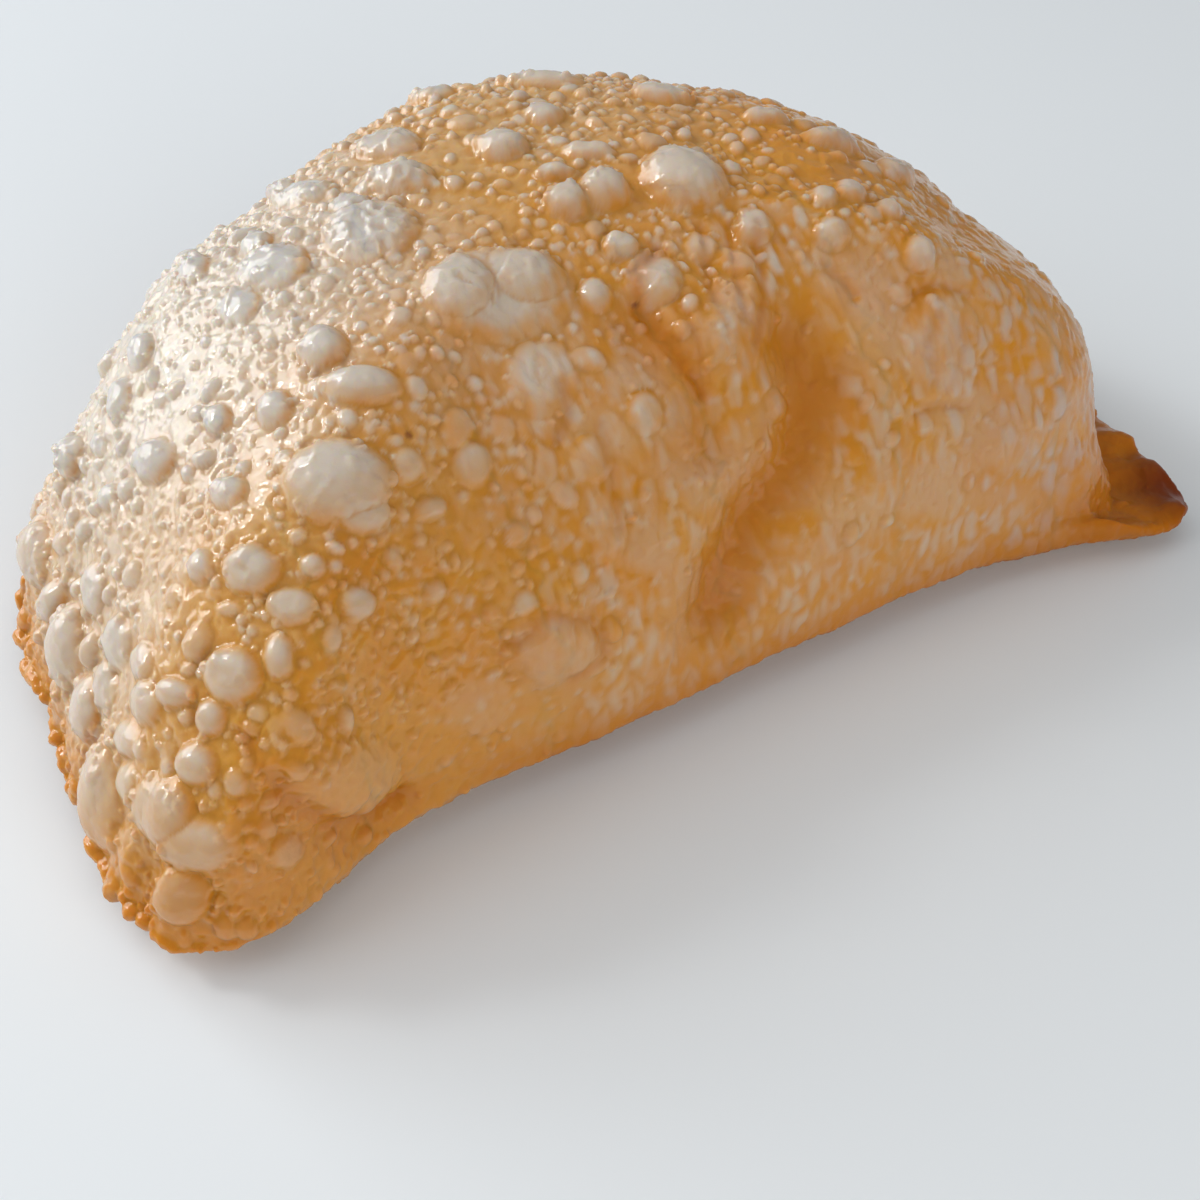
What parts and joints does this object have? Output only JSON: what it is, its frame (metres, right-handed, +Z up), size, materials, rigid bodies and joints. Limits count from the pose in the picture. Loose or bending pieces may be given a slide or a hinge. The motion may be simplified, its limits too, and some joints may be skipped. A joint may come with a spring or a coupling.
{
  "type": "cheburek",
  "caption": "Deep-fried half-moon turnover, puffed into a tall dome, with a round folded edge, a thin sealed rim and a blistered golden crust.",
  "frame": {"origin": "under the middle of the bounding box, on the surface that the turnover lies on", "axes": "+X along the folded edge towards the thin right tip, +Y from the folded edge across to the sealed rim, +Z up"},
  "size_m": [0.2086, 0.1494, 0.0741],
  "materials": {
    "fried_crust": "fried dough crust, pale blisters on golden orange, lightly oiled sheen"
  },
  "bodies": {
    "root": {"cheburek": "fried_crust"}
  },
  "joints": []
}
